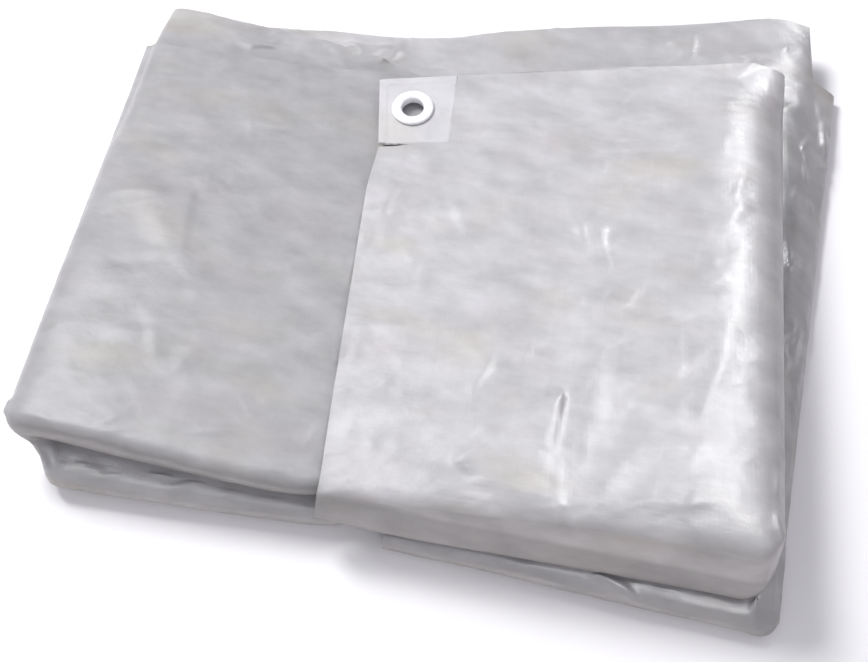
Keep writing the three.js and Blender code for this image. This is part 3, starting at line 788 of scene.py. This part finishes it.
# Floor, light and camera.

floorLook = {"size": 8.0, "light": "#fbfafc", "shade": "#f8f7fa"}
floorMaterial, floorTree, floorSurface = newMaterial("matt white floor")
cloudy = addNode(floorTree, "ShaderNodeTexNoise", {"Scale": 3.0, "Detail": 2.0})
floorTone = addNode(floorTree, "ShaderNodeMix",
                    {"data_type": "RGBA", 6: linearColour(floorLook["shade"]), 7: linearColour(floorLook["light"])},
                    {0: cloudy.outputs[0]})
floorTree.links.new(floorTone.outputs[2], floorSurface.inputs["Base Color"])
floorSurface.inputs["Roughness"].default_value = 0.9
floorSurface.inputs["Specular IOR Level"].default_value = 0.1
half, low = floorLook["size"] / 2, -0.0005
floor = newPiece("floor", [(-half, -half, low), (half, -half, low), (half, half, low), (-half, half, low)],
                 [(0, 1, 2, 3)], floorMaterial)

# One soft lamp from the left and behind lights the cloth, with a weak one in front. The panels under the
# ceiling are seen only as its gloss.
lampRows = [  # name, place, width and length in metres, watts, whether it lights and whether it mirrors
    ("keyLamp", (-1.25, 0.95, 1.50), (0.75, 0.75), 50.0, True, False),
    ("frontFill", (0.55, -1.9, 0.9), (1.4, 0.7), 8.5, True, False),
    ("leftPanel", (-0.80, 0.08, 1.2), (0.8, 0.85), 8.0, False, True),
    ("edgePanel", (-0.28, 0.66, 1.2), (0.14, 0.36), 0.35, False, True),
    ("nearPanel", (0.42, 0.20, 1.2), (0.46, 0.54), 6.6, False, True),
    ("dimNearPanel", (0.34, 0.32, 1.2), (0.42, 0.36), 1.0, False, True),
    ("rightBackPanel", (0.70, 1.05, 1.2), (0.26, 0.85), 14.0, False, True),
]
for name, place, size, watts, lights, mirrors in lampRows:
    lamp = bpy.data.lights.new(name, "AREA")
    lamp.shape = "RECTANGLE"
    lamp.size, lamp.size_y = size
    lamp.energy = watts
    item = bpy.data.objects.new(name, lamp)
    bpy.context.scene.collection.objects.link(item)
    item.location = place
    item.visible_diffuse, item.visible_glossy = lights, mirrors
    if lights:  # faces the packet, the panels face straight down
        item.rotation_euler = Vector(place).to_track_quat("Z", "Y").to_euler()

world = bpy.data.worlds.new("paleRoom")
bpy.context.scene.world = world
world.use_nodes = True
background = next(n for n in world.node_tree.nodes if n.type == "BACKGROUND")
background.inputs["Color"].default_value = linearColour("#f1f0f6")
background.inputs["Strength"].default_value = 0.52
bpy.context.scene.view_settings.view_transform = "Standard"

photoView = {
    "target": (3.32, -57.86, 0.0),    # mm, what the middle of the frame looks at
    "azimuth": 13.70, "elevation": 62.3, "roll": -1.2,
    "distance": 657.0, "focal": 1155.0, "width": 868,   # mm, and the lens and the frame in pixels
}
turn, roll = math.radians(photoView["azimuth"]), math.radians(photoView["roll"])
backward = towards(photoView["azimuth"], photoView["elevation"])
rightward = Vector((math.cos(turn), math.sin(turn), 0))
upward = backward.cross(rightward)
rolledRight = rightward * math.cos(roll) + upward * math.sin(roll)
rolledUp = upward * math.cos(roll) - rightward * math.sin(roll)
camera = bpy.data.objects.new("photoCamera", bpy.data.cameras.new("photoCamera"))
bpy.context.scene.collection.objects.link(camera)
eyePoint = Vector(photoView["target"]) * mm + backward * photoView["distance"] * mm
camera.matrix_world = Matrix.Translation(eyePoint) @ Matrix((rolledRight, rolledUp, backward)).transposed().to_4x4()
camera.data.sensor_width = 36
camera.data.lens = photoView["focal"] / photoView["width"] * camera.data.sensor_width
camera.data.clip_start = 0.01
bpy.context.scene.camera = camera
print("stage set")
